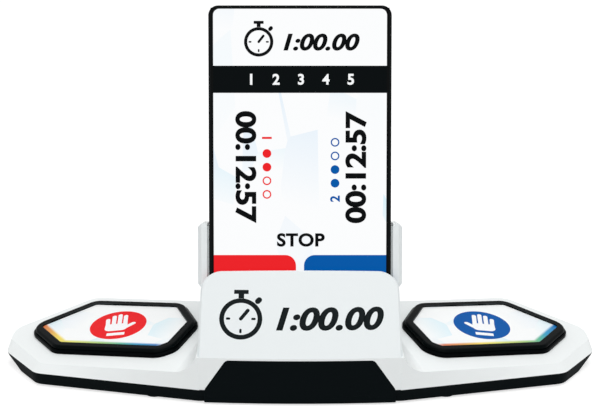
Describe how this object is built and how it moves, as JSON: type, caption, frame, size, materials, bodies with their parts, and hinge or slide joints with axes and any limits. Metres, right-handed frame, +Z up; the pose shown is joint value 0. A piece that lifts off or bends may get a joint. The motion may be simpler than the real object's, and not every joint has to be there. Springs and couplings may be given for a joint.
{
  "type": "speed cube timer",
  "caption": "Docking base with pressed start pads at either side and a sloping front hood; a sprung cradle holds a phone upright as the display.",
  "frame": {"origin": "on the table, under the middle of the base", "axes": "+X to the right pad, +Y to the back, +Z up"},
  "size_m": [0.251, 0.0779, 0.1487],
  "materials": {
    "case_white": "satin moulded",
    "fascia_white": "satin moulded",
    "tray_black": "fine texture",
    "cradle_white": "fine texture",
    "arm_grey": "satin moulded",
    "liner_grey": "soft",
    "rubber_black": "soft",
    "gear_nylon": "natural nylon",
    "steel": "turned and plated",
    "spring_steel": "drawn wire",
    "phone_case": "black anodised",
    "screen_glass": "polished, lit display behind",
    "cap_slate": "fine texture",
    "label_white": "printed sheet",
    "bezel_black": "polished",
    "lever_black": "glass filled nylon",
    "tip_rubber": "conductive"
  },
  "bodies": {
    "base": {"lower_shell": "tray_black", "upper_shell": "case_white", "front_fascia": "fascia_white", "phone_cradle": "cradle_white", "cradle_rear_cover": "cradle_white", "phone_rest_pad": "rubber_black", "backrest_pads": "rubber_black", "pinion_stud": "steel", "centring_spring": "spring_steel", "cover_screws": "steel", "cradle_screws": "steel", "case_screws": "steel", "rubber_feet": "rubber_black", "pad_bezel_right": "bezel_black", "pad_spring_right": "spring_steel", "lever_pin_right": "steel", "pad_bezel_left": "bezel_black", "pad_spring_left": "spring_steel", "lever_pin_left": "steel"},
    "pad_right": {"pad_cap_right": "cap_slate", "pad_label_right": "label_white"},
    "pad_left": {"pad_cap_left": "cap_slate", "pad_label_left": "label_white"},
    "lever_right": {"touch_lever_right": "lever_black", "touch_tip_right": "tip_rubber"},
    "lever_left": {"touch_lever_left": "lever_black", "touch_tip_left": "tip_rubber"},
    "arm_right": {"centring_arm_right": "arm_grey", "arm_liner_right": "liner_grey"},
    "arm_left": {"centring_arm_left": "arm_grey", "arm_liner_left": "liner_grey"},
    "pinion": {"centring_pinion": "gear_nylon"},
    "phone": {"phone_body": "phone_case", "phone_glass": "screen_glass", "camera_glass": "screen_glass"}
  },
  "joints": [
    {"name": "pad_right_press", "type": "slide", "parent": "base", "child": "pad_right", "axis": [-0.0756, 0.0713, -0.9946], "range_m": [0, 0.0015], "stiffness_N_per_m": 600, "springref_m": -0.002, "deforming": ["pad_spring_right"]},
    {"name": "lever_right_swing", "type": "hinge", "parent": "base", "child": "lever_right", "pos_m": [0.04, -0.02537, 0.0072], "axis": [-1, 0, 0], "range_deg": [0, 3.48]},
    {"name": "pad_left_press", "type": "slide", "parent": "base", "child": "pad_left", "axis": [0.0756, 0.0713, -0.9946], "range_m": [0, 0.0015], "stiffness_N_per_m": 600, "springref_m": -0.002, "deforming": ["pad_spring_left"]},
    {"name": "lever_left_swing", "type": "hinge", "parent": "base", "child": "lever_left", "pos_m": [-0.04, -0.02537, 0.0072], "axis": [-1, 0, 0], "range_deg": [0, 3.48]},
    {"name": "arm_right_slide", "type": "slide", "parent": "base", "child": "arm_right", "axis": [1, 0, 0], "range_m": [0, 0.006], "stiffness_N_per_m": 250, "springref_m": -0.005, "deforming": ["centring_spring"]},
    {"name": "arm_left_slide", "type": "slide", "parent": "base", "child": "arm_left", "axis": [-1, 0, 0], "range_m": [0, 0.006]},
    {"name": "pinion_spin", "type": "hinge", "parent": "base", "child": "pinion", "pos_m": [0, 0.00743, 0.04838], "axis": [0, 0.9636, -0.2672], "range_deg": [-72, 0]},
    {"name": "phone_lift", "type": "slide", "parent": "base", "child": "phone", "axis": [0, 0.2672, 0.9636], "range_m": [0, 0.08]}
  ],
  "couplings": [
    {"joint": "lever_right_swing", "follows": "pad_right_press", "rad_per_m": 40.22},
    {"joint": "lever_left_swing", "follows": "pad_left_press", "rad_per_m": 40.22},
    {"joint": "arm_left_slide", "follows": "arm_right_slide", "ratio": 1},
    {"joint": "pinion_spin", "follows": "arm_right_slide", "rad_per_m": -208.33}
  ]
}
